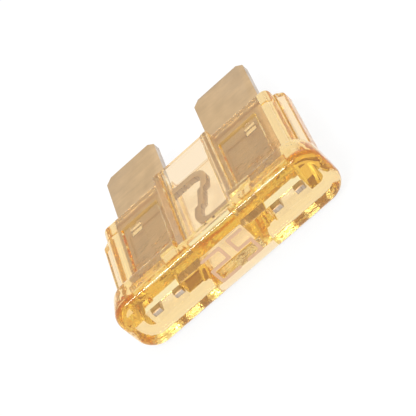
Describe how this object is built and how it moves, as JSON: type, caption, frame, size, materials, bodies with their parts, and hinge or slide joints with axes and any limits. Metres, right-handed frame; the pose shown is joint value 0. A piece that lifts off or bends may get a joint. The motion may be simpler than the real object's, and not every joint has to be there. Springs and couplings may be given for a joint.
{
  "type": "automotive blade fuse",
  "caption": "Blade fuse with a clear amber plastic housing, a capped top with test pockets, and a stamped metal element whose blades stand out below.",
  "frame": {"origin": "centre of the bounding box's bottom: the fuse lies on its back, below the middle of its length and height", "axes": "+X along the cap's length, +Y from the blades towards the cap, +Z out of the fuse's front face"},
  "size_m": [0.019, 0.0186, 0.0051],
  "materials": {
    "housing": "clear amber, glossy",
    "fuse_element": "dull zinc strip"
  },
  "bodies": {
    "root": {"housing": "housing", "fuse_element": "fuse_element"}
  },
  "joints": []
}
